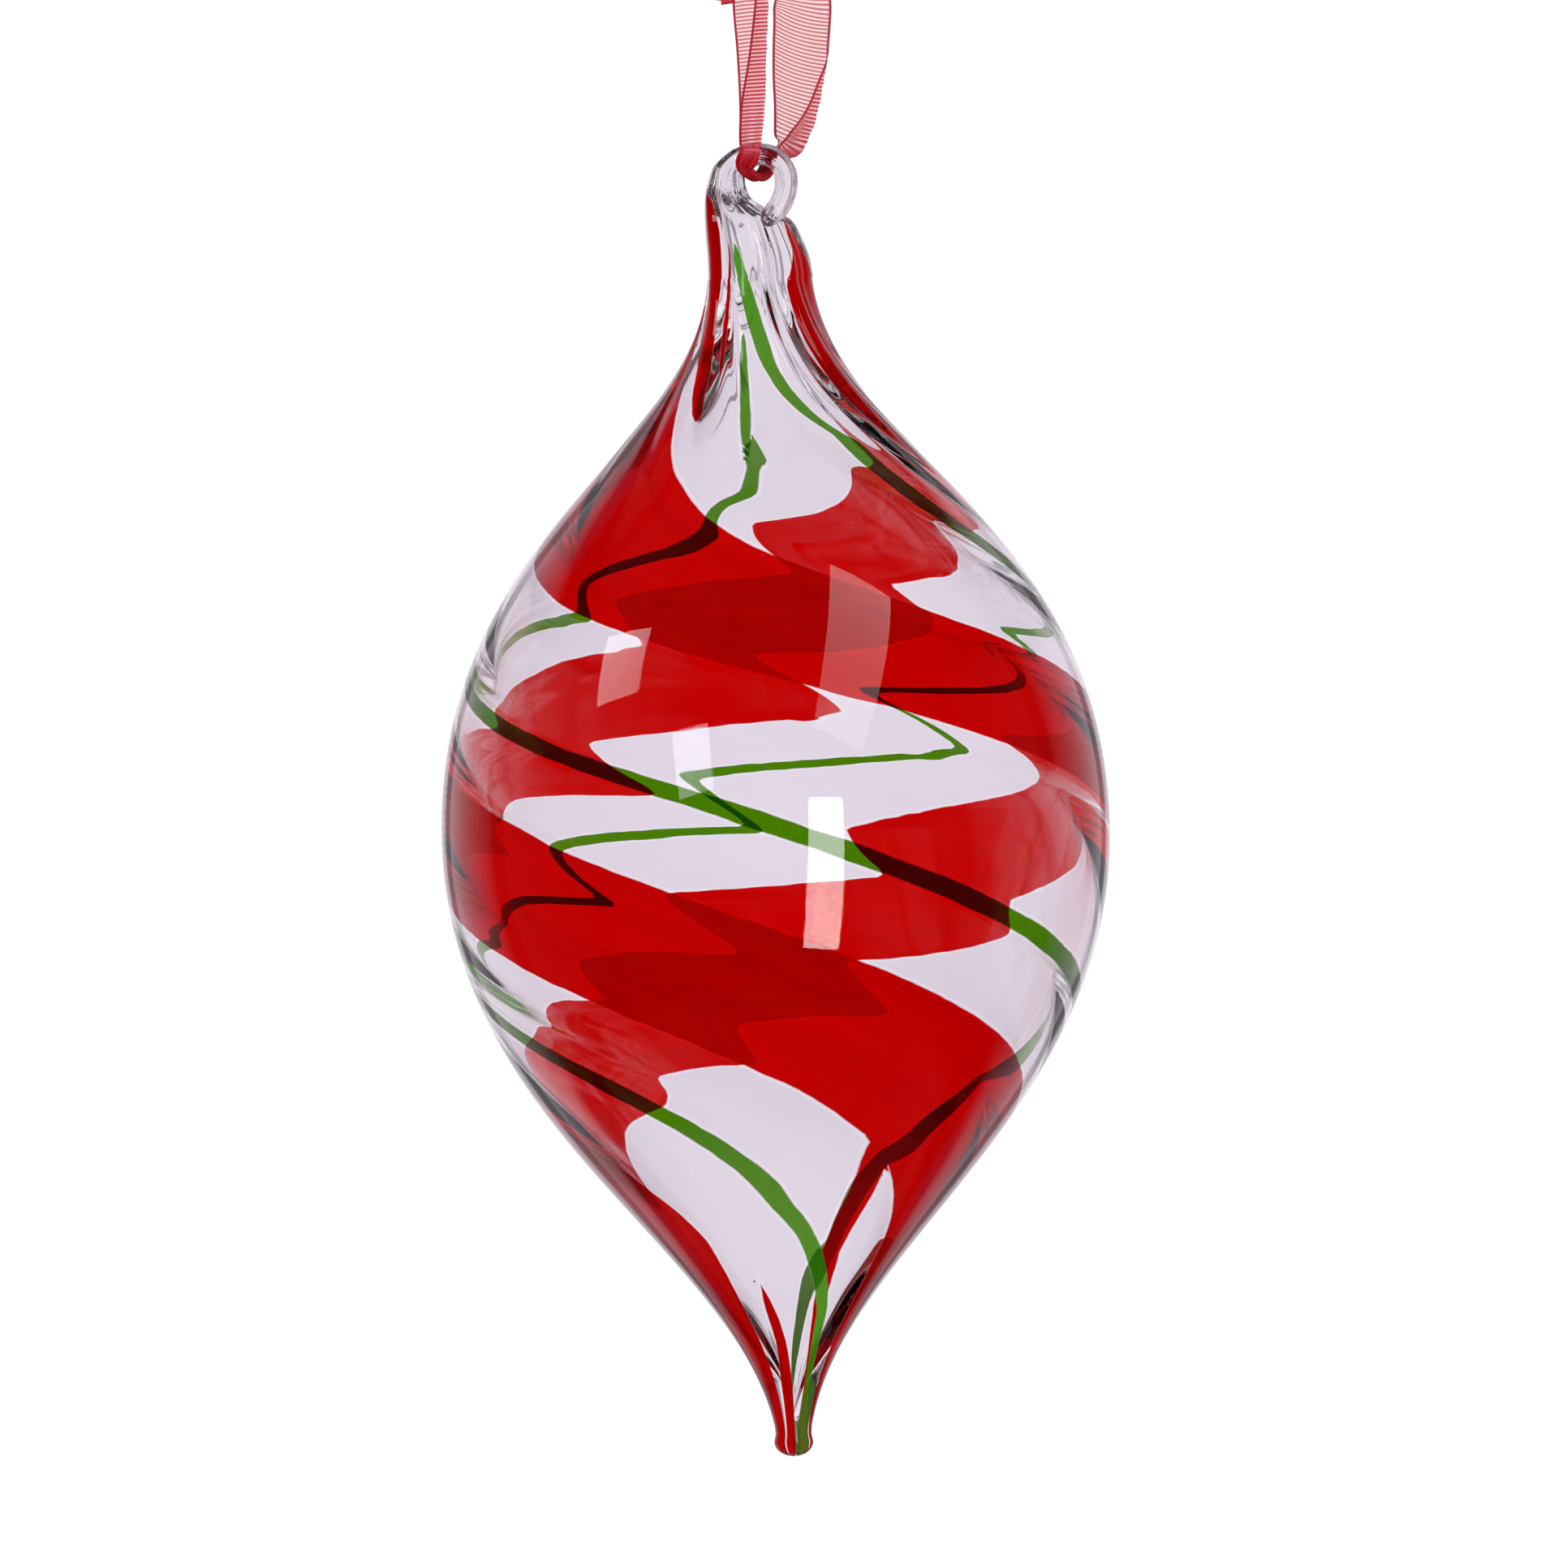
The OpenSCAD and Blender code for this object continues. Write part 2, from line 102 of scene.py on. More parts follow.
# The bend is a half circle round the strand of the eye
bend_steps = 6
bend_bundle = (2.3, 3.4, 0.1, 0.35, 0)
bend_rows = []
for k in range(1, bend_steps + 1):
    a = math.pi * k / bend_steps
    point = hung @ (Vector((0, 0, eye_mid_h - bend_r * math.sin(a))) - bend_r * math.cos(a) * eye_across)
    bend_rows.append((*(point / MM), eye_turn, *bend_bundle))
back_rows = [
    (1.3, 2.5, -87.6, -20, 3.6, 3.1, 0.1, 0.25, 0.2),
    (2.0, 2.5, -85.5, -8, 4.6, 2.4, 0.2, 0.1, 0.8),
    (2.5, 2.3, -82.5, 0, 5.5, 1.4, 0.4, 0, 1.2),
    (2.75, 2, -79, 4, 6.3, 0.6, 0.5, 0, 1.5),
    (3.0, 1.7, -76, 6, 6.8, 0, 0.6, 0, 1.7),
    (3.15, 1.4, -73, 8, 6.95, 0, 0.6, 0, 1.8),
    (3.2, 1.2, -70, 8, 6.95, 0, 0.5, 0, 1.8),
    (2.4, 0.8, -66, 6, 3.6, 1.4, 0.2, 0.3, 0.5),
    (1.9, 0.6, -64.6, 4, 2.6, 2.2, 0.1, 0.4, 0)]
strand_rows = front_rows + bend_rows + back_rows
fold_lift, fold_slope = 0.3 * MM, 0.4 * MM
pleat_waves, pleat_start = 3.5 * math.pi, 0.6
cut_power, skew_power = 8, 2.2


def eased_rows(rows, steps):
    """Rows between the given ones, on a smooth curve through them."""
    made = []
    for i in range(len(rows) - 1):
        a, b, c, d = (rows[min(max(k, 0), len(rows) - 1)] for k in (i - 1, i, i + 1, i + 2))
        for k in range(steps):
            t = k / steps
            made.append([b[n] + 0.5 * t * (c[n] - a[n] + t * (2 * a[n] - 5 * b[n] + 4 * c[n] - d[n]
                         + t * (3 * (b[n] - c[n]) + d[n] - a[n]))) for n in range(len(b))])
    return made + [list(rows[-1])]


def across_ribbon(row, u):
    """Where a place across the ribbon lies beside the route and above it: u runs from -1 to 1."""
    seen, fold, bow, pleat = (v * MM for v in row[4:8])
    flat = u * ribbon_w / 2
    crease = ribbon_w / 2 - fold
    over = max(0.0, flat - crease)
    beside = flat - 2 * over - (crease - ribbon_w / 2) / 2
    lift = fold_lift * min(1, over / fold_slope) + bow * (1 - u * u)
    lift += pleat * math.sin(pleat_waves * u + pleat_start)
    return beside * seen / (ribbon_w - fold), lift


def ribbon_piece(name, rows, ends, cut=0.0):
    """A ribbon extruded from row to row, with its first and last directions. cut slants its end."""
    rows = eased_rows(rows, route_steps)
    line = [Vector(row[:3]) * MM for row in rows]
    bm = bmesh.new()
    uv = bm.loops.layers.uv.new("ribbon")
    across = [2 * k / ribbon_divisions - 1 for k in range(ribbon_divisions + 1)]
    place = {}
    along, edges = 0.0, []
    for i, row in enumerate(rows):
        ahead, behind = line[min(i + 1, len(line) - 1)], line[max(i - 1, 0)]
        way = ends[0] if i == 0 else ends[1] if i == len(rows) - 1 else ahead - behind
        way = Vector(way).normalized()
        turn = math.radians(row[3])
        flat = Vector((math.cos(turn), math.sin(turn), 0))
        side = (flat - flat.dot(way) * way).normalized()
        face = way.cross(side)
        along += (line[i] - behind).length if i else 0.0
        if i == 0:
            verts = [bm.verts.new() for _ in across]
            edges = [bm.edges.new(pair) for pair in zip(verts, verts[1:])]
        else:
            made = bmesh.ops.extrude_edge_only(bm, edges=edges)["geom"]
            edges = [g for g in made if isinstance(g, bmesh.types.BMEdge) and len(g.link_faces) == 1
                     and all(v not in place for v in g.verts)]
            fresh = {v for e in edges for v in e.verts}
            above = {v: next(e.other_vert(v) for e in v.link_edges if e.other_vert(v) in place)
                     for v in fresh}
            verts = [next(v for v in fresh if above[v] is old) for old in verts]
        for v, u in zip(verts, across):
            beside, lift = across_ribbon(row, u)
            slant = cut * (1 - u) / 2 * (i / (len(rows) - 1)) ** cut_power
            v.co = line[i] + side * beside + face * lift - way * slant
            place[v] = (u / 2 + 0.5, along - row[8] * MM * (0.5 - u / 2) ** skew_power)
    for f in bm.faces:
        for loop in f.loops:
            loop[uv].uv = place[loop.vert]
        f.smooth = True
    mesh = bpy.data.meshes.new(name)
    bm.to_mesh(mesh)
    bm.free()
    piece = bpy.data.objects.new(name, mesh)
    scene.collection.objects.link(piece)
    wall = piece.modifiers.new("wall", "SOLIDIFY")
    wall.thickness = ribbon_t
    wall.offset = 0
    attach(piece, "root")
    return piece, line


def linear(code):
    """The linear colour of an sRGB hex value."""
    parts = [int(code[k:k + 2], 16) / 255 for k in (1, 3, 5)]
    return (*(c / 12.92 if c <= 0.04045 else ((c + 0.055) / 1.055) ** 2.4 for c in parts), 1)


def add(tree, kind, inputs, **settings):
    """Adds a node, sets it, and fills its sockets with values, or links them to nodes or sockets."""
    made = tree.nodes.new(kind)
    for name, value in settings.items():
        setattr(made, name, value)
    for name, value in inputs.items():
        if isinstance(value, bpy.types.Node):
            value = value.outputs[0]
        if isinstance(value, bpy.types.NodeSocket):
            tree.links.new(value, made.inputs[name])
        else:
            made.inputs[name].default_value = value
    return made


# Woven organza: twisted polyester yarn, so open that the white behind shows between the wefts.
# The wefts lie 0.37 mm apart and are drawn 0.46 mm apart, because the render can't hold them.
# Its edges are woven closer.
weft_pitch = 0.46 * MM
selvedge_share = 0.05
gap_cover, weft_cover, selvedge_cover = 0.17, 0.6, 0.9
weft_red, gap_red, selvedge_red = "#CE0E38", "#FF3056", "#B81030"
bend_from, bend_full = -87.2 * MM, -89.4 * MM
bend_cover, bend_red = 0.96, "#C40E22"
organza = bpy.data.materials.new("woven_organza")
organza.use_nodes = True
tree = organza.node_tree
tree.nodes.clear()
weave = add(tree, "ShaderNodeUVMap", {}, uv_map="ribbon")
weave = add(tree, "ShaderNodeSeparateXYZ", {0: weave})
centre = add(tree, "ShaderNodeMath", {0: weave.outputs["X"], 1: 0.5}, operation="SUBTRACT")
out = add(tree, "ShaderNodeMath", {0: centre}, operation="ABSOLUTE")
weft = add(tree, "ShaderNodeMath", {0: weave.outputs["Y"], 1: 2 * math.pi / weft_pitch},
           operation="MULTIPLY")
weft = add(tree, "ShaderNodeMath", {0: weft}, operation="SINE")
weft = add(tree, "ShaderNodeMapRange", {"Value": weft, "From Min": -0.35, "From Max": 0.55})
edge = add(tree, "ShaderNodeMapRange", {"Value": out, "From Min": 0.5 - selvedge_share,
                                        "From Max": 0.5 - 0.7 * selvedge_share})
cover = add(tree, "ShaderNodeMapRange", {"Value": weft.outputs[0], "To Min": gap_cover,
                                         "To Max": weft_cover})
dense = add(tree, "ShaderNodeMath", {0: edge.outputs[0], 1: selvedge_cover}, operation="MULTIPLY")
cover = add(tree, "ShaderNodeMath", {0: cover.outputs[0], 1: dense}, operation="MAXIMUM")
# It is gathered where it bends under the eye's strand, and nothing shows through it there
spot = add(tree, "ShaderNodeTexCoord", {})
spot = add(tree, "ShaderNodeSeparateXYZ", {0: spot.outputs["Object"]})
tight = add(tree, "ShaderNodeMapRange", {"Value": spot.outputs["Z"], "From Min": bend_from,
                                         "From Max": bend_full, "To Max": bend_cover})
cover = add(tree, "ShaderNodeMath", {0: cover, 1: tight.outputs[0]}, operation="MAXIMUM")
hue = add(tree, "ShaderNodeMix", {"Factor": weft.outputs[0], "A": linear(gap_red),
                                  "B": linear(weft_red)}, data_type="RGBA")
hue = add(tree, "ShaderNodeMix", {"Factor": edge.outputs[0], "A": hue.outputs["Result"],
                                  "B": linear(selvedge_red)}, data_type="RGBA")
hue = add(tree, "ShaderNodeMix", {"Factor": tight.outputs[0], "A": hue.outputs["Result"],
                                  "B": linear(bend_red)}, data_type="RGBA")
yarn = add(tree, "ShaderNodeBsdfPrincipled", {
    "Base Color": hue.outputs["Result"], "Roughness": 0.5, "Alpha": cover, "Specular IOR Level": 0.1})
add(tree, "ShaderNodeOutputMaterial", {"Surface": yarn})

strands, strand_line = ribbon_piece("ribbon_strands_cloth", strand_rows, [(0, 0, -1), (0, 0, 1)])
strands.data.materials.append(organza)
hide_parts("ribbon_strands")

# Hanger: the same ribbon above the knot, in the loop that goes over a twig or a hook.
# The photograph ends below it, so it is a plain loop of a usual length.
hanger_rows = [
    (-1.6, 0.15, -60, 28, 3, 1, 0.1, 0.5, 0), (-2.2, 0.2, -58.5, 32, 3.9, 0.4, 0.2, 0.4, 0),
    (-3, 0.2, -54.4, 46, 5.9, 0.2, 0.4, 0.1, 0),
    (-4.8, 0.1, -46.8, 60, 6.9, 0.1, 0.4, 0, 0), (-6.9, 0, -37.4, 74, 7, 0, 0.4, 0, 0),
    (-8.7, 0, -27.5, 84, 7, 0, 0.3, 0, 0), (-9.6, 0, -18.1, 90, 7, 0, 0.2, 0, 0),
    (-8.9, 0, -9.9, 90, 7, 0, 0, 0, 0), (-6.6, 0, -4.1, 90, 7, 0, 0, 0, 0),
    (-3.4, 0, -0.9, 90, 7, 0, 0, 0, 0), (0, 0, 0.25, 90, 7, 0, 0, 0, 0),
    (3.4, 0, -0.9, 90, 7, 0, 0, 0, 0), (6.6, 0, -4.1, 90, 7, 0, 0, 0, 0),
    (8.9, 0, -9.9, 90, 7, 0, 0, 0, 0), (9.6, 0, -18.1, 90, 7, 0, 0.2, 0, 0),
    (8.7, 0, -27.5, 96, 7, 0, 0.3, 0, 0), (6.9, 0, -37.4, 106, 7, 0, 0.4, 0, 0),
    (4.8, -0.1, -46.8, 120, 6.9, 0.1, 0.4, 0, 0), (3, -0.2, -54.4, 134, 5.9, 0.2, 0.4, 0.1, 0),
    (2.2, -0.2, -58.5, 148, 3.9, 0.4, 0.2, 0.4, 0), (1.6, -0.15, -60, 152, 3, 1, 0.1, 0.5, 0)]
hanger, hanger_line = ribbon_piece("ribbon_hanger_cloth", hanger_rows, [(0, 0, 1), (0, 0, -1)])
hanger.data.materials.append(organza)
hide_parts("ribbon_hanger")

# Tails: the two cut ends of the ribbon, which leave the sides of the knot and hang down.
tail_a_rows = [
    (-5, -0.2, -62.25, 84, 3.5, 1, 0, 0.4, 0), (-6.7, -0.5, -63.15, 66, 3.6, 1, 0, 0.3, 0),
    (-7.4, -0.9, -65.55, 44, 3.8, 1.4, 0.2, 0.25, 0), (-7.3, -1.2, -68.05, 20, 4, 1.8, 0.2, 0.2, 0),
    (-7, -1.3, -70.65, 8, 4.2, 2, 0.2, 0.1, 0)]
tail_b_rows = [
    (5, 0.2, -61.85, 96, 3.5, 1, 0, 0.4, 0), (7.4, 0.6, -62.15, 100, 4.4, 0.8, 0.1, 0.25, 0),
    (9.8, 1, -63.45, 104, 5.6, 0.4, 0.3, 0.1, 0), (11.6, 1.4, -65.65, 110, 6.6, 0.1, 0.4, 0, 0),
    (12.6, 1.7, -67.85, 114, 6.9, 0, 0.4, 0, 0)]
# Gathered organza: the same cloth in so many layers that nothing shows through, with its folds
# about 1.1 mm apart. The yarn has little shine.
fold_gap, fold_depth = 1.11 * MM, 0.1 * MM
# Painted shade for the folds' hollows and painted light for their crests
fold_hollow_painted_shade, fold_crest_painted_light = "#980818", "#E01A30"
gathered = bpy.data.materials.new("gathered_organza")
gathered.use_nodes = True
tree = gathered.node_tree
tree.nodes.clear()
spot = add(tree, "ShaderNodeTexCoord", {})
folds = add(tree, "ShaderNodeTexNoise", {"Vector": spot.outputs["Object"], "Scale": 1 / fold_gap,
                                         "Detail": 3.0})
# The colour follows the folds' bump: painted shade in their hollows, painted light on their crests
hue = add(tree, "ShaderNodeMix", {"Factor": folds.outputs["Fac"], "A": linear(fold_hollow_painted_shade),
                                  "B": linear(fold_crest_painted_light)}, data_type="RGBA")
relief = add(tree, "ShaderNodeBump", {"Height": folds.outputs["Fac"], "Strength": 0.4,
                                      "Distance": fold_depth})
yarn = add(tree, "ShaderNodeBsdfPrincipled", {
    "Base Color": hue.outputs["Result"], "Roughness": 0.5, "Normal": relief, "Specular IOR Level": 0.15})
add(tree, "ShaderNodeOutputMaterial", {"Surface": yarn})
for name, rows, ends, cut, cloth in (
        ("ribbon_tail_a", tail_a_rows, [(-1, 0, 0), (0, 0, -1)], 0.9 * MM, gathered),
        ("ribbon_tail_b", tail_b_rows, [(1, 0, 0), (0.4, 0.1, -1)], 2.4 * MM, organza)):
    tail = ribbon_piece(name, rows, ends, cut)[0]
    tail.data.materials.append(cloth)
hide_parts("ribbon_tails")

# Knot: the ribbon wound round itself and pulled tight, so it lies in dense overlapping folds.
# It is two wraps across each other. Each has a tilt in degrees, a size and a lift in mm.
knot_mid = Vector((0, 0, -62.25)) * MM
knot_half = Vector((4.9, 3.1, 3.4)) * MM
knot_wraps = [(13, 1.0, 0.3), (-17, 0.94, -0.45)]
wrap_rows, wrap_columns = 14, 48
wrap_wave, waves_up, waves_round, wave_slant = 0.05, 5, 3, 7
bm = bmesh.new()
for tilt, size, lift in knot_wraps:
    before = set(bm.verts)
    rim = []
    for k in range(wrap_rows + 1):
        a = math.pi * (k / wrap_rows - 0.5)
        wave = 1 + wrap_wave * math.sin(waves_up * a + tilt)
        rim.append(bm.verts.new((wave * abs(math.cos(a)) ** 0.5, 0, math.sin(a))))
    line = [bm.edges.new(pair) for pair in zip(rim, rim[1:])]
    bmesh.ops.spin(bm, geom=rim + line, axis=(0, 0, 1), cent=(0, 0, 0), angle=2 * math.pi,
                   steps=wrap_columns, use_merge=True)
    wrap = [v for v in bm.verts if v not in before]
    for v in wrap:
        swirl = math.atan2(v.co.y, v.co.x)
        v.co *= 1 + wrap_wave * math.sin(waves_round * swirl + wave_slant * v.co.z)
    bmesh.ops.scale(bm, vec=knot_half * size, verts=wrap)
    bmesh.ops.rotate(bm, cent=(0, 0, 0), matrix=Matrix.Rotation(math.radians(tilt), 3, "Y"), verts=wrap)
    bmesh.ops.translate(bm, vec=knot_mid + Vector((0, 0, lift)) * MM, verts=wrap)
bmesh.ops.remove_doubles(bm, verts=bm.verts, dist=0.01 * MM)
bmesh.ops.recalc_face_normals(bm, faces=bm.faces)
for f in bm.faces:
    f.smooth = True
mesh = bpy.data.meshes.new("ribbon_knot_cloth")
bm.to_mesh(mesh)
bm.free()
mesh.materials.append(gathered)
knot = bpy.data.objects.new("ribbon_knot_cloth", mesh)
scene.collection.objects.link(knot)
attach(knot, "root")
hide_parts("ribbon_knot")

# Blown drop: one hollow piece of clear glass with its colours laid in its outside, smooth outside
# and ridged inside. Its neck is drawn over to the left into the strand of the eye, which curls
# round to the right and is pressed down on the neck's front again.
drop_r = 40.2 * MM
drop_h = 148.6 * MM
neck_r = 6.3 * MM
neck_h = 5.2 * MM
neck_start = 7.1 * MM
button_r, waist_r, button_h = 2.35 * MM, 2.1 * MM, 3 * MM
button_share = 0.6
cone_end = drop_h - button_h
button_mid = drop_h - button_share * button_h
# How far the handles of the two curves of its outline reach from the neck, the belly and the tip
neck_reach, above_belly, below_belly, tip_reach = 22 * MM, 38 * MM, 35 * MM, 22 * MM
tip_flare = 3.8 * MM
shoulder = [(neck_r, neck_h), (neck_r, neck_h + neck_reach), (drop_r, belly - above_belly), (drop_r, belly)]
lower = [(drop_r, belly), (drop_r, belly + below_belly), (waist_r + tip_flare, cone_end - tip_reach),
         (waist_r, cone_end)]
halvings = 30


def bezier(p, t):
    """The point at share t of a curve with four control points."""
    s = 1 - t
    return tuple(s ** 3 * p[0][n] + 3 * t * s * s * p[1][n] + 3 * t * t * s * p[2][n] + t ** 3 * p[3][n]
                 for n in (0, 1))


@functools.lru_cache(None)
def outline_r(depth):
    """Outer radius of the drop at a depth below the seat."""
    if depth < neck_h:
        return neck_r
    if depth > button_mid:
        return button_r * math.sqrt(max(0, 1 - ((depth - button_mid) / (drop_h - button_mid)) ** 2))
    if depth > cone_end:
        return waist_r + (button_r - waist_r) * (depth - cone_end) / (button_mid - cone_end)
    curve = shoulder if depth < belly else lower
    low, high = 0.0, 1.0
    for _ in range(halvings):
        mid = (low + high) / 2
        low, high = (mid, high) if bezier(curve, mid)[1] < depth else (low, mid)
    return bezier(curve, low)[0]


# Twist in degrees for each mm, which eases from one rate to the next between two depths in mm,
# and how far the whole pattern is turned about the drop's axis
twist_rates = [1.75, 4.65, 3.8, 0.5]
twist_eases = [(22, 48), (66, 73), (96, 131)]
pattern_turn = 82


@functools.lru_cache(None)
def twist_at(depth):
    """Degrees that the gather has been turned at a depth."""
    mm = depth / MM
    turned = twist_rates[0] * mm
    for (a, b), before, after in zip(twist_eases, twist_rates, twist_rates[1:]):
        u = (mm - a) / (b - a)
        eased = 0 if u < 0 else u ** 3 - u ** 4 / 2 if u < 1 else u - 0.5
        turned += (after - before) * (b - a) * eased
    return turned


# The gather is laid out in degrees round it before the twist, from its seam on
gather_seam = 90


def gather_at(p):
    """The place round the untwisted gather of a point."""
    turned = -math.degrees(math.atan2(p.x, -p.y)) - pattern_turn
    return (turned - gather_seam) % 360 + gather_seam


def between(stops, x):
    """A value read between stops of (place, value)."""
    for (a, fa), (b, fb) in zip(stops, stops[1:]):
        if x <= b:
            return fa + (fb - fa) * max(0, x - a) / (b - a)
    return stops[-1][1]


# The colours laid in it, as streaks: rows of depth in mm, middle and half width in degrees. A
# negative half width ends a streak in a point.
red_streaks = [
    [(9, 379, -2), (14, 388, 16), (20, 394, 26), (24, 398, 32), (32, 400, 36), (40, 403, 38), (50, 399, 36),
     (62, 394, 34), (98, 393, 33), (105, 390, 33), (114, 382, 31), (122, 377, 30), (130, 381, 30),
     (149, 389, 38)],
    [(-2, 235, -1), (4, 236, 14), (8, 233, 28), (14, 233, 31), (24, 232, 35), (28, 226, 35), (34, 215, 33),
     (40, 210, 33), (47, 216, 33), (55, 228, 34), (63, 233, 34), (105, 233, 34), (122, 230, 33),
     (149, 234, 34)],
    [(125, 331, -2), (130, 331, 3), (135, 328, 6), (140, 330, 10), (149, 333, 15)],
    [(109, 262, -1), (112, 266, 5), (116, 275, 4.5), (120, 284, 5), (124, 291, 5), (131, 294, 4),
     (149, 290, 8)]]
green_streaks = [
    [(22, 123, -2), (25, 132, 4), (28, 141, 3), (33, 150, 3.5), (40, 150, 4), (60, 152, 4.5), (149, 150, 5)],
    [(27, 290, 4.5), (33, 293, 4.5), (41, 299, 4.5), (47, 307, 4), (60, 309, 4), (105, 309, 4),
     (118, 306, 4.5), (125, 298, 4.5), (131, 290, 4.5), (149, 291, 5)]]

# Those on the neck's front are set as the photograph shows them, as rows of pixels: a place on the
# streak's middle, and the streak's width. The seat is at seat_px in it, and the drop's axis passes
# through axis_px and leans by axis_lean.
seat_px = 272
axis_px, axis_lean = (955, 1000), 0.03
red_seen = [
    [(876, 232, -3), (877, 245, 12), (879, 283, 16), (880, 317, 14), (881, 350, 13), (876, 383, 15),
     (872, 417, 17), (869, 450, 17), (863, 483, 16), (860, 512, 11), (859, 523, -3)],
    [(897, 278, -2), (898, 310, 4), (896, 350, 5), (894, 383, 5), (891, 420, 5), (888, 455, 5),
     (884, 480, -3)]]
green_seen = [
    [(907, 290, -2), (909, 317, 10), (917, 350, 14), (926, 383, 17), (936, 417, 19), (947, 450, 18),
     (967, 483, 17), (1000, 517, 15), (1050, 550, 15), (1062, 557, 15)],
    [(915, 405, -2), (916, 417, 6), (916, 450, 11), (917, 483, 13), (918, 517, 14), (920, 550, 14),
     (919, 566, 12), (918, 578, -2)]]


def as_laid(rows):
    """The rows of a streak on the gather, from the pixels in which the front shows it."""
    laid = []
    for x, y, wide in rows:
        depth = (y - seat_px) * PIXEL
        r = outline_r(depth) / PIXEL
        aside = math.asin((x - axis_px[0] - axis_lean * (y - axis_px[1])) / r)
        place = twist_at(max(depth, neck_start)) - math.degrees(aside) - pattern_turn
        laid.append((depth / MM, (place - gather_seam) % 360 + gather_seam,
                     math.degrees(wide / 2 / (r * math.cos(aside)))))
    return laid


red_streaks += [as_laid(rows) for rows in red_seen]
green_streaks += [as_laid(rows) for rows in green_seen]
no_colour = -20


@functools.lru_cache(None)
def streaks_at(depth):
    """Middles and half widths of the red and of the green streaks at a depth."""
    return [[[between([(row[0], row[n]) for row in rows], depth / MM) for n in (1, 2)]
             for rows in streaks if rows[0][0] <= depth / MM <= rows[-1][0]]
            for streaks in (red_streaks, green_streaks)]


def reach_at(depth, place):
    """How many degrees a place lies inside the nearest red and green streak, negative outside."""
    return [max([half - abs(place - mid) for mid, half in found], default=no_colour)
            for found in streaks_at(round(depth, 7))]


# The wall is thin panels of clear glass between ridges inside, which run with the bands' edges and
# the canes: place, strength and roundness of each. How far they stand out changes with depth, both
# in mm, and the wall is thicker at both ends, where the hollow is drawn to a point.
ridges = [(4, 1.1, 0.2), (72, 1, 0.2), (150, 0.8, 0.2), (209, 1, 0.25), (257, 0.6, 0.3), (296, 0.7, 0.2)]
ridge_rises = [(10, 0.4), (25, 0.6), (40, 0.9), (75, 0.7), (105, 0.55), (125, 0.2), (140, 0.15)]
panel_wall = 1.25 * MM
end_rise = 1 * MM
end_fades = [(112, 1), (138, 0.4)]
# Ripples of the wall: width in degrees, place in the noise and height. All are as long as ripple_h.
ripples = [(3.2, 0, 0.003 * MM), (25, 5, 0.02 * MM)]
ripple_h = 25 * MM


def wall_at(depth, place):
    """Thickness of the wall at a depth and a place round the gather."""
    turns = [(a + 360 * k, s, q) for k in (-1, 0, 1) for a, s, q in ridges]
    for (a, sa, qa), (b, sb, qb) in zip(turns, turns[1:]):
        if a <= place % 360 <= b:
            u = 2 * (place % 360 - a) / (b - a)
            strength, q = (sa, qa) if u < 1 else (sb, qb)
            u = min(u, 2 - u)
            rise = strength * (1 - u * u / q if u < q else (1 - u) ** 2 / (1 - q))
            break
    opened = outline_r(depth) / drop_r
    ripple = sum(noise.noise(Vector((place / wide, depth / ripple_h, seed))) * height
                 for wide, seed, height in ripples)
    ends = end_rise * (1 - opened) ** 2 * between(end_fades, depth / MM)
    return panel_wall + ends + between(ridge_rises, depth / MM) * MM * rise + ripple


# Drawing the neck and the tip out left soft waves round the glass, and narrow grooves in the neck.
# Waves: count round the drop, start and share. Grooves: places and half width in degrees. Both
# scale the radius, and fade with depth in mm.
waves = [(7, 0.6, 0.5), (11, 2, 0.3), (4, 1, 0.2)]
grooves = [18, 47, 98, 131, 166, 199, 243, 262, 276, 290, 327]
groove_half = 3.6
wave_rise, groove_depth = 0.05, 0.035
wave_fades = [(9, 1), (30, 0), (116, 0), (140, 0.3)]
groove_fades = [(12, 1), (34, 0)]


@functools.lru_cache(None)
def waves_at(place):
    """How high the soft waves stand at a place, from about -1 to 1."""
    a = math.radians(place)
    return sum(share * math.cos(count * a + start) for count, start, share in waves)


@functools.lru_cache(None)
def grooves_at(place):
    """How deep the narrow grooves are at a place, from 0 to 1."""
    return sum(math.exp(-(((place - g + 180) % 360 - 180) / groove_half) ** 2) for g in grooves)


def drawn_share(depth, place):
    """How the waves and grooves scale the radius at a depth and a place."""
    mm = depth / MM
    return 1 + (wave_rise * between(wave_fades, mm) * waves_at(place)
                - groove_depth * between(groove_fades, mm) * grooves_at(place))


ring_gap = 0.95 * MM
outside_columns, inside_columns = 200, 180
merge_gap, on_axis = 0.001 * MM, 0.01 * MM


def spun_shell(bm, profile, columns):
    """Spins a profile of radii and depths round the axis, and lays out the gather on it."""
    start = math.radians(-pattern_turn - gather_seam)
    rim = [bm.verts.new((r * math.sin(start), -r * math.cos(start), -d)) for r, d in profile]
    line = [bm.edges.new(pair) for pair in zip(rim, rim[1:])]
    others = set(bm.faces)
    bmesh.ops.spin(bm, geom=rim + line, axis=(0, 0, -1), cent=(0, 0, 0), angle=2 * math.pi, steps=columns,
                   use_merge=True)
    verts = {v for f in bm.faces if f not in others for v in f.verts}
    bmesh.ops.remove_doubles(bm, verts=list(verts), dist=merge_gap)
    faces = [f for f in bm.faces if f not in others]
    for f in faces:
        middle = gather_at(f.calc_center_median())
        for c in f.loops:
            p = c.vert.co
            place = middle if math.hypot(p.x, p.y) < on_axis else gather_at(p)
            place -= 360 * round((place - middle) / 360)
            c[gather].uv = ((place - gather_seam) / 360, -p.z)
            c[reach].uv = reach_at(-p.z, place)
    return faces, {v for f in faces for v in f.verts}


def turn_gather(v, share):
    """Scales a point's radius, and turns it as far as the gather is twisted there."""
    v.co = Matrix.Rotation(math.radians(twist_at(round(-v.co.z, 7))), 3, "Z") @ v.co
    v.co.x *= share
    v.co.y *= share


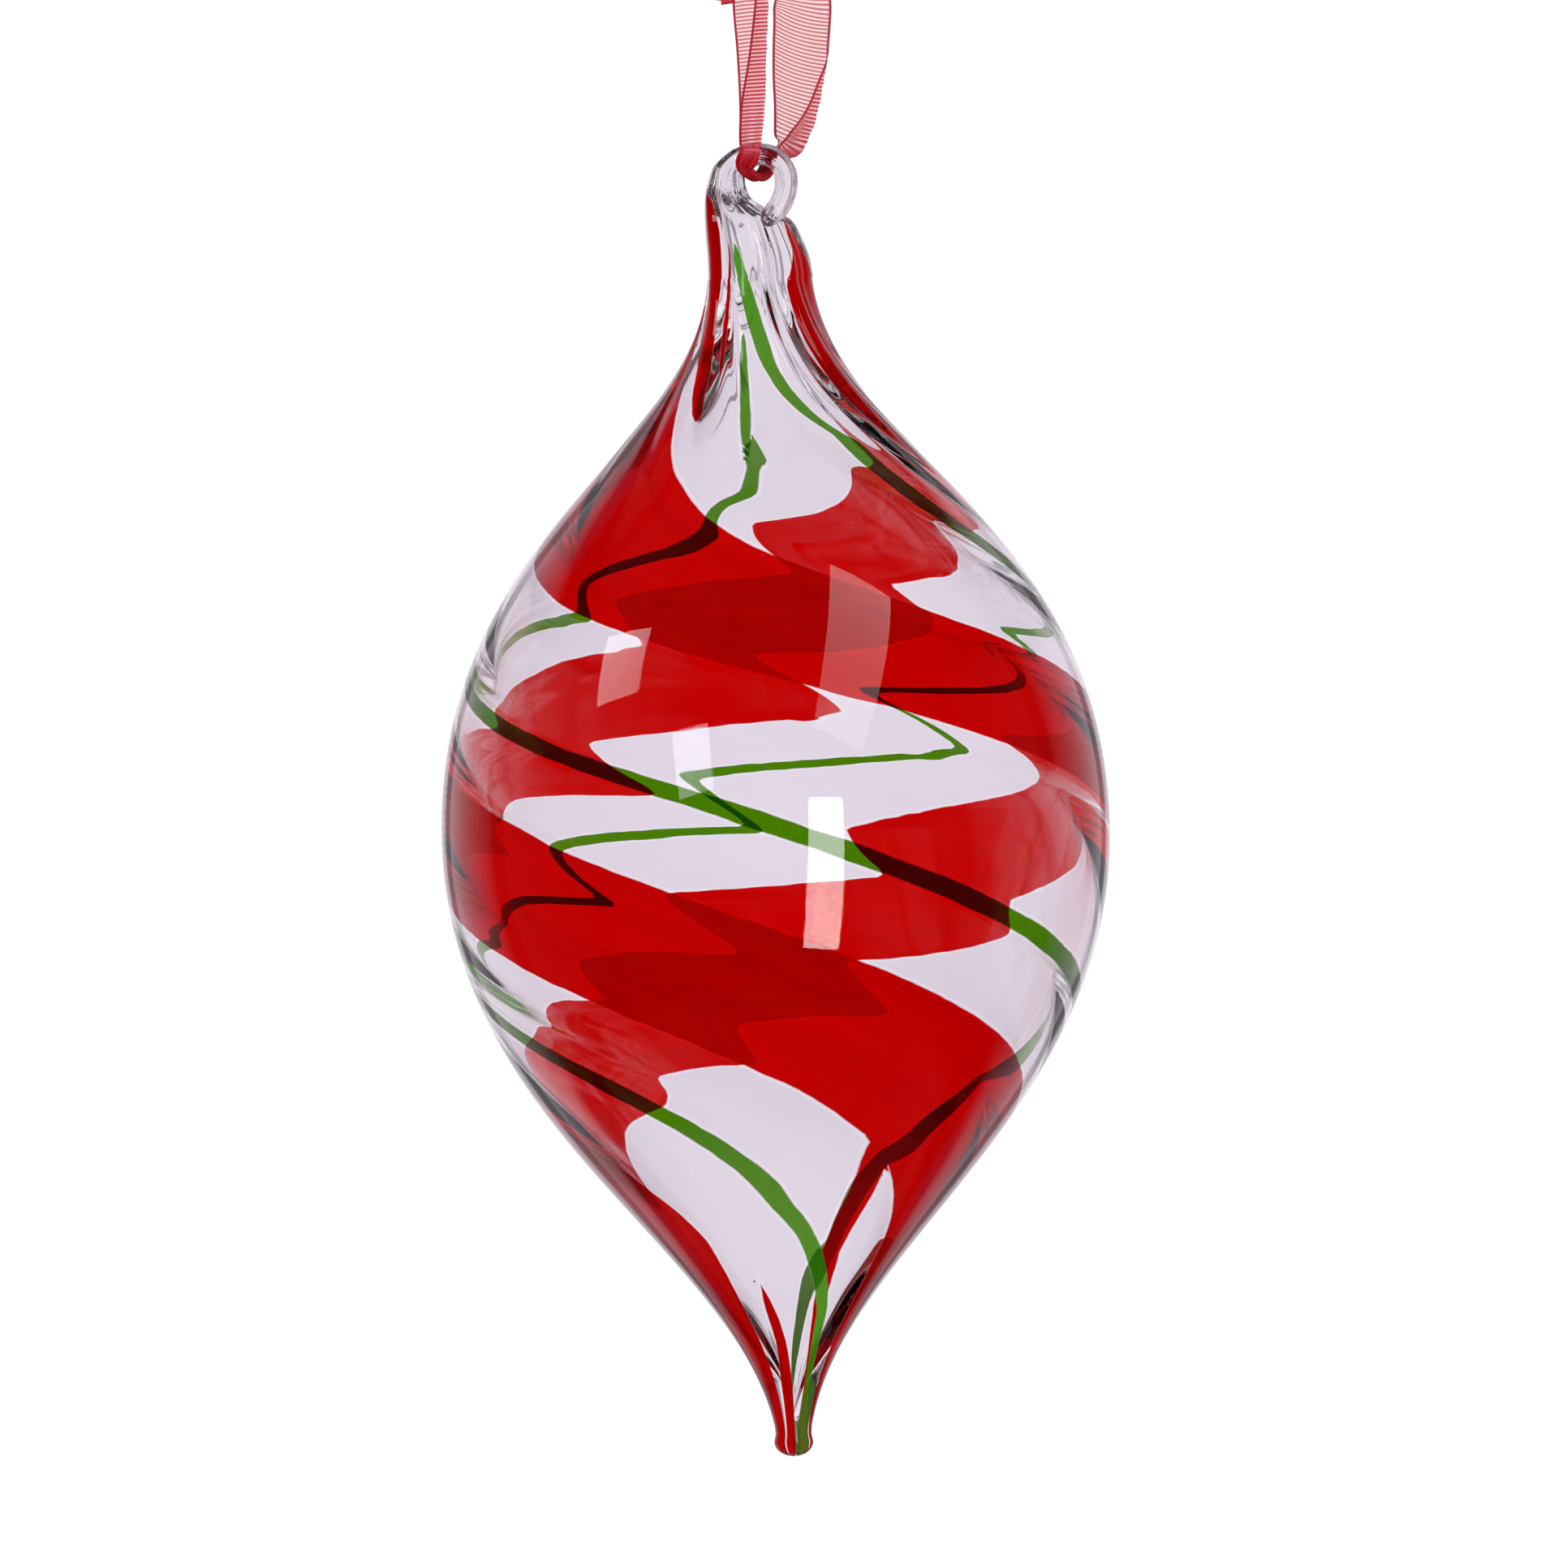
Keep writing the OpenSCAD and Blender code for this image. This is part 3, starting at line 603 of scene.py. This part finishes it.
bm = bmesh.new()
gather = bm.loops.layers.uv.new("gather")
reach = bm.loops.layers.uv.new("reach")
# Outside, from the button's pole up to the neck
pole_rings = 8
depths = [drop_h - (drop_h - button_mid) * (1 - math.cos(math.pi / 2 * k / pole_rings))
          for k in range(pole_rings + 1)]
count = round((button_mid - neck_start) / ring_gap)
depths += [button_mid - (button_mid - neck_start) * k / count for k in range(1, count + 1)]
verts = spun_shell(bm, [(outline_r(d), d) for d in depths], outside_columns)[1]
for v in verts:
    turn_gather(v, drawn_share(-v.co.z, gather_at(v.co)))

# Eye: from the neck on, the glass is extruded ring by ring. Each ring is set by its two edges as the
# front shows them, in pixels of the photograph, and by how far behind the neck's axis it lies, in
# mm. Where the strand was pulled off and pressed down it is crumpled.
neck_px = (933.4, 272)
eye_rings = [
    (869, 345, 1000, 345, 0), (869, 315, 996, 318, 0), (868, 290, 988, 296, 0),
    (867.5, 268, 976, 272, 0.2), (868, 252, 957, 262, 0.6), (869, 240, 940, 253, 1.0),
    (872, 226, 926, 242, 1.3), (879, 206, 920, 226, 1.3), (889, 194, 921, 213, 1.1),
    (905, 182, 929, 206, 0.8), (924, 176.5, 938, 203, 0.4), (943, 176, 945, 204, -0.1),
    (962, 182, 952, 209, -0.8), (976, 196, 955, 215, -1.6), (984, 214, 956, 222, -2.4),
    (984, 234, 955, 235, -3.2), (979, 251, 950, 246, -3.9), (972, 264, 944, 254, -4.5),
    (963, 273, 939, 262, -4.9), (953, 280, 938, 271, -5.1), (946, 281, 940, 277, -5.1)]
ring_steps = 5
crumple_starts = [(24, 0), (32, 1)]
crumples_in_m, crumple_rise = 700, 0.35 * MM
# Noise vectors depend on a seed, which is set so that the crumple is the same each time
noise.seed_set(7)
loop_edges = [e for e in bm.edges if len(e.link_faces) == 1]
old = {v: math.atan2(v.co.x, -v.co.y) for e in loop_edges for v in e.verts}
place_of = {v: (twist_at(neck_start) - math.degrees(a) - pattern_turn - gather_seam) % 360 + gather_seam
            for v, a in old.items()}
drawn = neck_start
rings = eased_rows(eye_rings, ring_steps)
for ring_before, row in zip(rings, rings[1:]):
    before = set(bm.faces)
    made = bmesh.ops.extrude_edge_only(bm, edges=loop_edges)["geom"]
    loop_edges = [g for g in made if isinstance(g, bmesh.types.BMEdge) and len(g.link_faces) == 1]
    fresh = {}
    for v in {v for e in loop_edges for v in e.verts}:
        below = next(e.other_vert(v) for e in v.link_edges if e.other_vert(v) in old)
        fresh[v] = old[below]
        place_of[v] = place_of[below]
    left = Vector((row[0] - neck_px[0], 0, neck_px[1] - row[1])) * PIXEL
    right = Vector((row[2] - neck_px[0], 0, neck_px[1] - row[3])) * PIXEL
    step = Vector((row[0] - ring_before[0], row[1] - ring_before[1])).length * PIXEL
    drawn -= step
    mid, half = (left + right) / 2, (right - left) / 2
    crumple = between(crumple_starts, -drawn / MM)
    for v, a in fresh.items():
        grow = drawn_share(drawn, place_of[v])
        v.co = mid + (half * math.sin(a) - Vector((0, half.length * math.cos(a), 0))) * grow
        v.co.y += row[4] * MM
        v.co += noise.noise_vector(v.co * crumples_in_m) * crumple_rise * crumple
    for f in [f for f in bm.faces if f not in before]:
        places = [place_of[c.vert] for c in f.loops]
        for c, place in zip(f.loops, places):
            if max(places) - min(places) > 180 and place < gather_seam + 180:
                place += 360
            depth = drawn + (0 if c.vert in fresh else step)
            c[gather].uv = ((place - gather_seam) / 360, depth)
            c[reach].uv = reach_at(depth, place)
    old = fresh
# The end of the strand is closed with one face, which is parted into triangles
before = set(bm.faces)
bmesh.ops.contextual_create(bm, geom=loop_edges)
bmesh.ops.poke(bm, faces=[f for f in bm.faces if f not in before])
outside = list(bm.faces)
for f in outside:
    if f not in before:
        for c in f.loops:
            c[gather].uv = (0, drawn)
            c[reach].uv = (no_colour, no_colour)
bmesh.ops.recalc_face_normals(bm, faces=outside)

# Inside, spun the same way, pushed in by the wall's thickness and drawn to a point at both ends
hollow_top, hollow_end = 2.5 * MM, 144.5 * MM
neck_point, tip_point = 34 * MM, 20 * MM
neck_taper, tip_taper = 2.5, 2
count = round((hollow_end - hollow_top) / ring_gap)
depths = [hollow_end - (hollow_end - hollow_top) * k / count for k in range(count + 1)]
inside, verts = spun_shell(
    bm, [(0 if k in (0, count) else outline_r(round(d, 7)), d) for k, d in enumerate(depths)],
    inside_columns)
for v in verts:
    depth = round(-v.co.z, 7)
    radius = math.hypot(v.co.x, v.co.y)
    if radius > on_axis:
        share = (radius - wall_at(depth, gather_at(v.co))) / radius
        share *= 1 - max(0, 1 - (depth - hollow_top) / neck_point) ** neck_taper
        share *= 1 - max(0, 1 - (hollow_end - depth) / tip_point) ** tip_taper
        turn_gather(v, share)
bmesh.ops.recalc_face_normals(bm, faces=inside)
bmesh.ops.reverse_faces(bm, faces=inside)
inside = set(inside)

# Small air bubbles caught in the wall: depth in mm, place in degrees, and how deep they lie in it
# and their radius in mm
bubbles = [(0.6, 302, 1.2, 0.3), (9, 316, 0.9, 0.16), (23, 338, 0.8, 0.14), (37, 330, 0.7, 0.12),
           (48, 287, 0.6, 0.13), (63, 20, 0.6, 0.15), (71, 240, 0.6, 0.12), (84, 318, 0.6, 0.16),
           (97, 60, 0.6, 0.13), (104, 120, 0.6, 0.12), (118, 282, 0.7, 0.14), (127, 335, 0.8, 0.15),
           (143.8, 300, 1.2, 0.2)]
for depth, place, sunk, size in bubbles:
    made = bmesh.ops.create_icosphere(bm, subdivisions=2, radius=size * MM)["verts"]
    bmesh.ops.reverse_faces(bm, faces=list({f for v in made for f in v.link_faces}))
    a = math.radians(twist_at(depth * MM) - pattern_turn - place)
    r = outline_r(depth * MM) - sunk * MM
    bmesh.ops.translate(bm, vec=(r * math.sin(a), -r * math.cos(a), -depth * MM), verts=made)
    inside |= {f for v in made for f in v.link_faces}
for f in bm.faces:
    f.smooth = True
    f.material_index = 1 if f in inside else 0
bmesh.ops.transform(bm, matrix=hung, verts=bm.verts)
mesh = bpy.data.meshes.new("blown_glass_drop")
bm.to_mesh(mesh)
bm.free()
drop = bpy.data.objects.new("blown_glass_drop", mesh)
scene.collection.objects.link(drop)

# Fire-polished soda glass: colourless, and as clean as its surface tension leaves it. Facing the
# eye it hardly reflects a dark room, and at its rims it takes on the white round it. The tints hold
# its gleams back, and those of the inner side most.
glass_ior = 1.5
outer_gleam, inner_gleam = "#616161", "#272727"
cast_gap = 16.7 * MM
clear_grey, clear_white = "#F7F5F8", "#FDFCFE"
clear = bpy.data.materials.new("clear_blown_glass")
clear.use_nodes = True
tree = clear.node_tree
tree.nodes.clear()
spot = add(tree, "ShaderNodeTexCoord", {})
cast = add(tree, "ShaderNodeTexNoise", {"Vector": spot.outputs["Object"], "Scale": 1 / cast_gap})
hue = add(tree, "ShaderNodeMix", {"Factor": cast.outputs["Fac"], "A": linear(clear_grey),
                                  "B": linear(clear_white)}, data_type="RGBA")
glass = add(tree, "ShaderNodeBsdfPrincipled", {
    "Base Color": hue.outputs["Result"], "Roughness": 0.0, "IOR": glass_ior, "Transmission Weight": 1.0,
    "Specular Tint": linear(inner_gleam)})
add(tree, "ShaderNodeOutputMaterial", {"Surface": glass})

# Coloured glass, cased over the clear: ruby red that is streaked along the twist, and leaf green
# canes. Both are drawn out to points where the neck was pulled.
# The last white is a painted highlight beside the colours' edges
casing_clear, casing_thick, edge_painted_highlight = "#F1EFF2", "#DCD8DE", "#FFFFFF"
ruby, ruby_deep = "#B40000", "#990000"
leaf, leaf_drawn = "#124A00", "#3C8A0C"
cased = bpy.data.materials.new("cased_blown_glass")
cased.use_nodes = True
tree = cased.node_tree
tree.nodes.clear()
laid = add(tree, "ShaderNodeUVMap", {}, uv_map="gather")
split = add(tree, "ShaderNodeSeparateXYZ", {0: laid})
depth = split.outputs["Y"]
# The reach map says how many degrees a place lies inside the red (X) and the green (Y). The edges
# wander a little, and beside them a white line is painted into the clear glass, a painted highlight.
edge_wander, wander_gap, edge_soft = 1.6, 7.69 * MM, 0.3
halo_off, halo_full, halo_none = 0.85, 0.35, 0.75
inside_by = add(tree, "ShaderNodeUVMap", {}, uv_map="reach")
inside_by = add(tree, "ShaderNodeSeparateXYZ", {0: inside_by})
spot = add(tree, "ShaderNodeTexCoord", {})
wander = add(tree, "ShaderNodeTexNoise", {"Vector": spot.outputs["Object"], "Scale": 1 / wander_gap,
                                          "Detail": 4.0})
wander = add(tree, "ShaderNodeMapRange", {"Value": wander.outputs["Fac"], "To Min": -edge_wander,
                                          "To Max": edge_wander})
masks, halos = [], []
for side in ("X", "Y"):
    inner = add(tree, "ShaderNodeMath", {0: inside_by.outputs[side], 1: wander.outputs[0]}, operation="ADD")
    masks.append(add(tree, "ShaderNodeMapRange", {"Value": inner, "From Min": -edge_soft,
                                                  "From Max": edge_soft}))
    off = add(tree, "ShaderNodeMath", {0: inner, 1: halo_off}, operation="ADD")
    off = add(tree, "ShaderNodeMath", {0: off}, operation="ABSOLUTE")
    halos.append(add(tree, "ShaderNodeMapRange", {"Value": off, "From Min": halo_full,
                                                  "From Max": halo_none, "To Min": 1.0, "To Max": 0.0}))
halo = add(tree, "ShaderNodeMath", {0: halos[0], 1: halos[1]}, operation="MAXIMUM")
# The red is streaked with a deeper one, in streaks 9 degrees wide that run along the twist
streak_wide, streak_long = 9, 71.4 * MM
along = add(tree, "ShaderNodeCombineXYZ", {"X": split.outputs["X"], "Y": depth})
streaks = add(tree, "ShaderNodeMapping", {"Vector": along,
                                          "Scale": (360 / streak_wide, 1 / streak_long, 1.0)})
streaks = add(tree, "ShaderNodeTexNoise", {"Vector": streaks, "Scale": 1.0, "Detail": 6.0,
                                           "Roughness": 0.65})
streaks = add(tree, "ShaderNodeMapRange", {"Value": streaks.outputs["Fac"], "From Min": 0.4,
                                           "From Max": 0.8})
red = add(tree, "ShaderNodeMix", {"Factor": streaks.outputs[0], "A": linear(ruby), "B": linear(ruby_deep)},
          data_type="RGBA")
# Towards the neck and the tip the glass was drawn out, which leaves the canes thin and bright
middle, drawn_from, drawn_full = 70 * MM, 38 * MM, 62 * MM
off = add(tree, "ShaderNodeMath", {0: depth, 1: middle}, operation="SUBTRACT")
off = add(tree, "ShaderNodeMath", {0: off}, operation="ABSOLUTE")
ends = add(tree, "ShaderNodeMapRange", {"Value": off, "From Min": drawn_from, "From Max": drawn_full})
green = add(tree, "ShaderNodeMix", {"Factor": ends.outputs[0], "A": linear(leaf), "B": linear(leaf_drawn)},
            data_type="RGBA")
# The clear casing is thicker in patches, and most so near the neck, where it looks greyer
patch_gap = 45.5 * MM
neck_grey, grey_full, grey_none = 0.1, 20 * MM, 60 * MM
cast = add(tree, "ShaderNodeTexNoise", {"Vector": spot.outputs["Object"], "Scale": 1 / patch_gap,
                                        "Detail": 1.0})
thick = add(tree, "ShaderNodeMapRange", {"Value": depth, "From Min": grey_full, "From Max": grey_none,
                                         "To Min": neck_grey, "To Max": 0.0})
thick = add(tree, "ShaderNodeMath", {0: thick.outputs[0], 1: cast.outputs["Fac"]}, operation="ADD")
thick = add(tree, "ShaderNodeMapRange", {"Value": thick, "From Min": 0.4, "From Max": 0.9})
pale = add(tree, "ShaderNodeMix", {"Factor": thick.outputs[0], "A": linear(casing_clear),
                                   "B": linear(casing_thick)}, data_type="RGBA")
# Painted highlight: the white line beside the colours' edges
pale = add(tree, "ShaderNodeMix", {"Factor": halo, "A": pale.outputs["Result"], "B": linear(edge_painted_highlight)},
           data_type="RGBA")
hue = add(tree, "ShaderNodeMix", {"Factor": masks[0].outputs[0], "A": pale.outputs["Result"],
                                  "B": red.outputs["Result"]}, data_type="RGBA")
hue = add(tree, "ShaderNodeMix", {"Factor": masks[1].outputs[0], "A": hue.outputs["Result"],
                                  "B": green.outputs["Result"]}, data_type="RGBA")
# Seen edge on, coloured glass is deep and nearly black
rim_from, rim_full, rim_share, rim_dark = 0.5, 0.85, 0.75, "#160208"
rim = add(tree, "ShaderNodeLayerWeight", {"Blend": 0.5})
rim = add(tree, "ShaderNodeMapRange", {"Value": rim.outputs["Facing"], "From Min": rim_from,
                                       "From Max": rim_full, "To Min": 0.0, "To Max": rim_share})
stained = add(tree, "ShaderNodeMath", {0: masks[0].outputs[0], 1: masks[1].outputs[0]}, operation="MAXIMUM")
rim = add(tree, "ShaderNodeMath", {0: rim.outputs[0], 1: stained}, operation="MULTIPLY")
hue = add(tree, "ShaderNodeMix", {"Factor": rim, "A": hue.outputs["Result"], "B": linear(rim_dark)},
          data_type="RGBA")
# Where the colours were drawn together at both ends they are dense, and show their own colour
dense_clarity = 0.3
dense = add(tree, "ShaderNodeMath", {0: ends.outputs[0], 1: stained}, operation="MULTIPLY")
clarity = add(tree, "ShaderNodeMapRange", {"Value": dense, "To Min": 1.0, "To Max": dense_clarity})
glass = add(tree, "ShaderNodeBsdfPrincipled", {
    "Base Color": hue.outputs["Result"], "Roughness": 0.0, "IOR": glass_ior,
    "Transmission Weight": clarity.outputs[0], "Specular Tint": linear(outer_gleam)})
add(tree, "ShaderNodeOutputMaterial", {"Surface": glass})
mesh.materials.append(cased)
mesh.materials.append(clear)
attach(drop, "root")
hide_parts("glass_drop", "hanging_eye", "red_band_a", "red_band_b", "green_cane_a", "green_cane_b")

# Floor: a plain white disc well below the drop, which takes its shadow. It is clear from below,
# and the glass doesn't show it.
floor_drop = 0.12
floor_r = 0.9
floor_edges = 96
bm = bmesh.new()
bmesh.ops.create_circle(bm, cap_ends=True, segments=floor_edges, radius=floor_r)
bmesh.ops.translate(bm, vec=(0, 0, cad_low.z - floor_drop), verts=bm.verts)
mesh = bpy.data.meshes.new("floor")
bm.to_mesh(mesh)
bm.free()
floor = bpy.data.objects.new("floor", mesh)
scene.collection.objects.link(floor)
paper = bpy.data.materials.new("white_paper")
paper.use_nodes = True
tree = paper.node_tree
tree.nodes.clear()
matt = add(tree, "ShaderNodeBsdfPrincipled", {"Base Color": linear("#F6F6F6"), "Roughness": 0.9})
hole = add(tree, "ShaderNodeBsdfTransparent", {})
side = add(tree, "ShaderNodeNewGeometry", {})
sheet = add(tree, "ShaderNodeMixShader", {0: side.outputs["Backfacing"], 1: matt, 2: hole})
add(tree, "ShaderNodeOutputMaterial", {"Surface": sheet})
mesh.materials.append(paper)
floor.visible_transmission = False
floor.visible_glossy = False

# World: pure white to the camera. Glass shows it as a lilac grey screen with narrow dark gaps
# between its panels, which draw the dark lines in the neck, the ridges and the tip. A dark band
# lies round it above and one below, and gleams show only the side behind the drop.
screen_lilac, gap_dark, open_white = "#F4ECF5", "#050506", "#F4F4F4"
band_height, band_core, band_edge, band_light = 0.62, 0.05, 0.1, 0.08
panels, gap_core, gap_edge, gap_light = 8, -0.93, -0.75, 0.4
behind_from, behind_full, front_light = 0.4, 0.85, 0.12
world = bpy.data.worlds.new("white_room")
scene.world = world
world.use_nodes = True
tree = world.node_tree
tree.nodes.clear()
ray = add(tree, "ShaderNodeLightPath", {})
spot = add(tree, "ShaderNodeTexCoord", {})
way = add(tree, "ShaderNodeSeparateXYZ", {0: spot.outputs["Generated"]})
height = add(tree, "ShaderNodeMath", {0: way.outputs["Z"]}, operation="ABSOLUTE")
off = add(tree, "ShaderNodeMath", {0: height, 1: band_height}, operation="SUBTRACT")
off = add(tree, "ShaderNodeMath", {0: off}, operation="ABSOLUTE")
dim = add(tree, "ShaderNodeMapRange", {"Value": off, "From Min": band_core, "From Max": band_edge,
                                       "To Min": band_light, "To Max": 1.0})
bearing = add(tree, "ShaderNodeMath", {0: way.outputs["X"], 1: way.outputs["Y"]}, operation="ARCTAN2")
bearing = add(tree, "ShaderNodeMath", {0: bearing, 1: panels}, operation="MULTIPLY")
bearing = add(tree, "ShaderNodeMath", {0: bearing}, operation="COSINE")
gap = add(tree, "ShaderNodeMapRange", {"Value": bearing, "From Min": gap_core, "From Max": gap_edge,
                                       "To Min": gap_light, "To Max": 1.0})
screen = add(tree, "ShaderNodeMath", {0: dim.outputs[0], 1: gap.outputs[0]}, operation="MULTIPLY")
behind = add(tree, "ShaderNodeMix", {"Factor": screen, "A": linear(gap_dark), "B": linear(screen_lilac)},
             data_type="RGBA")
front = add(tree, "ShaderNodeMapRange", {"Value": way.outputs["Y"], "From Min": behind_from,
                                         "From Max": behind_full, "To Min": front_light, "To Max": 1.0})
front = add(tree, "ShaderNodeMix", {"Factor": front.outputs[0], "B": behind.outputs["Result"],
                                    "A": linear("#000000")}, data_type="RGBA")
tone = add(tree, "ShaderNodeMix", {"Factor": ray.outputs["Is Glossy Ray"], "A": linear(open_white),
                                   "B": front.outputs["Result"]}, data_type="RGBA")
tone = add(tree, "ShaderNodeMix", {"Factor": ray.outputs["Is Transmission Ray"], "A": tone.outputs["Result"],
                                   "B": behind.outputs["Result"]}, data_type="RGBA")
tone = add(tree, "ShaderNodeMix", {"Factor": ray.outputs["Is Camera Ray"], "A": tone.outputs["Result"],
                                   "B": linear("#FFFFFF")}, data_type="RGBA")
sky = add(tree, "ShaderNodeBackground", {"Color": tone.outputs["Result"], "Strength": 1.0})
add(tree, "ShaderNodeOutputWorld", {"Surface": sky})

# Lamps: a soft key for the cloth and the floor, and the softboxes and window whose reflections
# lie on the shoulder. Those four light nothing, and are strong because the glass holds gleams back.
# Each has its azimuth, elevation and roll in degrees, width, height, glow, and whether it lights.
lamp_far = 1.2
lamp_aim = Vector((0, 0, -0.16))
lamps = [("key", 30, 50, 0, 0.8, 0.8, 0.7, True),
         ("softbox", 36, 43, -32, 0.4, 1.05, 12, False), ("strip", 17, -12, 0, 0.26, 0.85, 75, False),
         ("window_high", -67, 36, 25, 0.32, 0.36, 18, False),
         ("window_low", -29, 16, 15, 0.26, 0.36, 32, False)]
for name, azimuth, elevation, roll, width, tall, glow, lights in lamps:
    lamp = bpy.data.lights.new(name, "AREA")
    lamp.shape = "RECTANGLE"
    lamp.size, lamp.size_y = width, tall
    lamp.energy = glow * math.pi * width * tall
    a, e = math.radians(azimuth), math.radians(elevation)
    way = Vector((math.sin(a) * math.cos(e), -math.cos(a) * math.cos(e), math.sin(e)))
    holder = bpy.data.objects.new(name, lamp)
    holder.location = lamp_aim + way * lamp_far
    holder.rotation_euler = (way.to_track_quat("Z", "Y").to_matrix().to_4x4()
                             @ Matrix.Rotation(math.radians(roll), 4, "Z")).to_euler()
    holder.visible_diffuse = lights
    holder.visible_glossy = not lights
    holder.visible_transmission = False
    scene.collection.objects.link(holder)

# Light crosses many faces of glass on its way, so it needs many bounces. The focused light that
# glass throws on other things is left out, because it would only be noise here.
scene.view_settings.view_transform = "Standard"
scene.cycles.max_bounces = 20
scene.cycles.transmission_bounces = 20
scene.cycles.glossy_bounces = 8
scene.cycles.transparent_max_bounces = 16
scene.cycles.caustics_reflective = False
scene.cycles.caustics_refractive = False
